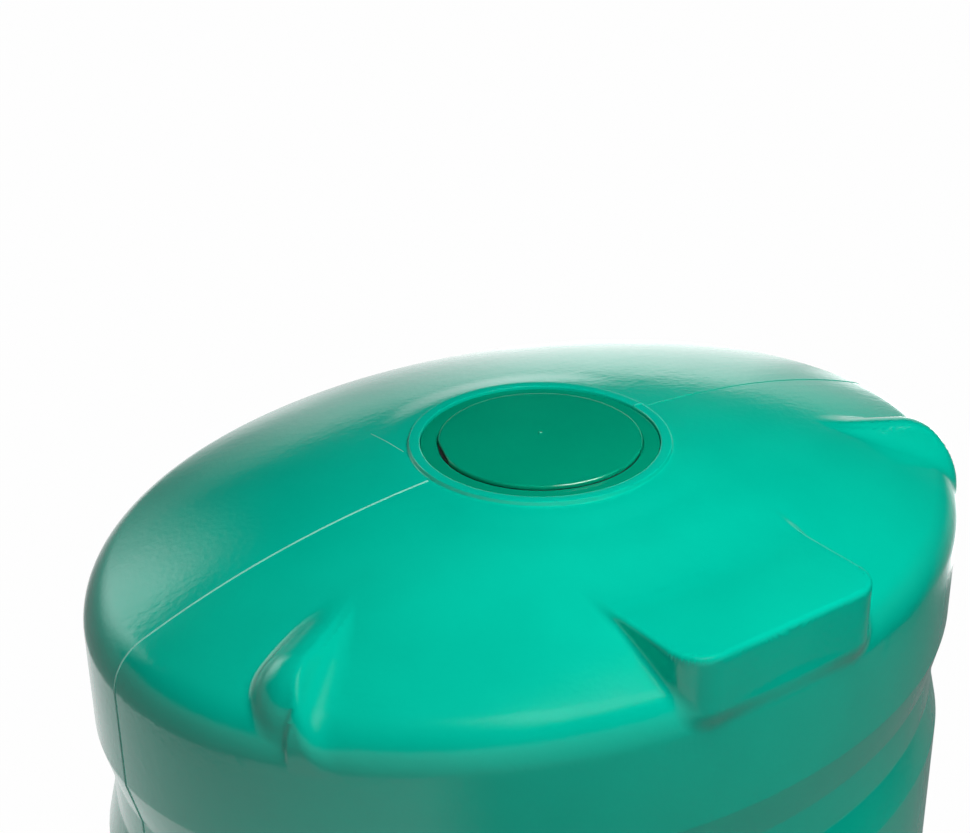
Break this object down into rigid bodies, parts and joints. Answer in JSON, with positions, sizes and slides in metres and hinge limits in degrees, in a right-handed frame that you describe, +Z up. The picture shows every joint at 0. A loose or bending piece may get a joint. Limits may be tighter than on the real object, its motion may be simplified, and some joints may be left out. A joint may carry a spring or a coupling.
{
  "type": "rainwater tank",
  "caption": "Oval above-ground rainwater tank in green plastic with a crowned roof, a round mouth with a lift-out cover, a level inlet pad, lugs and threaded sockets near its foot.",
  "frame": {"origin": "middle of the tank's foot, on the ground", "axes": "+Z up, X along the oval's long axis, -Y towards the front, where the inlet pad, the lugs and the tap socket are"},
  "size_m": [0.952, 0.738, 1.5525],
  "materials": {
    "tank_plastic": "semi-gloss moulded plastic, bright sea green",
    "lid_plastic": "semi-gloss moulded plastic, darker green",
    "seal_rubber": "matt black rubber",
    "socket_brass": "plain turned brass",
    "plug_plastic": "matt black moulded plastic"
  },
  "bodies": {
    "tank": {"roof_front_right": "tank_plastic", "roof_front_left": "tank_plastic", "roof_back_right": "tank_plastic", "roof_back_left": "tank_plastic", "inlet_pad": "tank_plastic", "right_lug": "tank_plastic", "left_lug": "tank_plastic", "front_wall": "tank_plastic", "front_right_wall": "tank_plastic", "right_end_wall": "tank_plastic", "back_right_wall": "tank_plastic", "back_wall": "tank_plastic", "back_left_wall": "tank_plastic", "left_end_wall": "tank_plastic", "front_left_wall": "tank_plastic", "floor": "tank_plastic", "mouth_rim": "tank_plastic", "tap_pad": "tank_plastic", "right_link_pad": "tank_plastic", "left_link_pad": "tank_plastic", "lid_ring": "lid_plastic", "lid_seal": "seal_rubber", "tap_socket": "socket_brass", "right_link_socket": "socket_brass", "left_link_socket": "socket_brass", "right_link_plug": "plug_plastic", "left_link_plug": "plug_plastic"},
    "cover": {"lid_cover": "lid_plastic"}
  },
  "joints": [
    {"name": "cover_lift", "type": "slide", "parent": "tank", "child": "cover", "axis": [0, 0, 1], "range_m": [0, 0.25]}
  ]
}
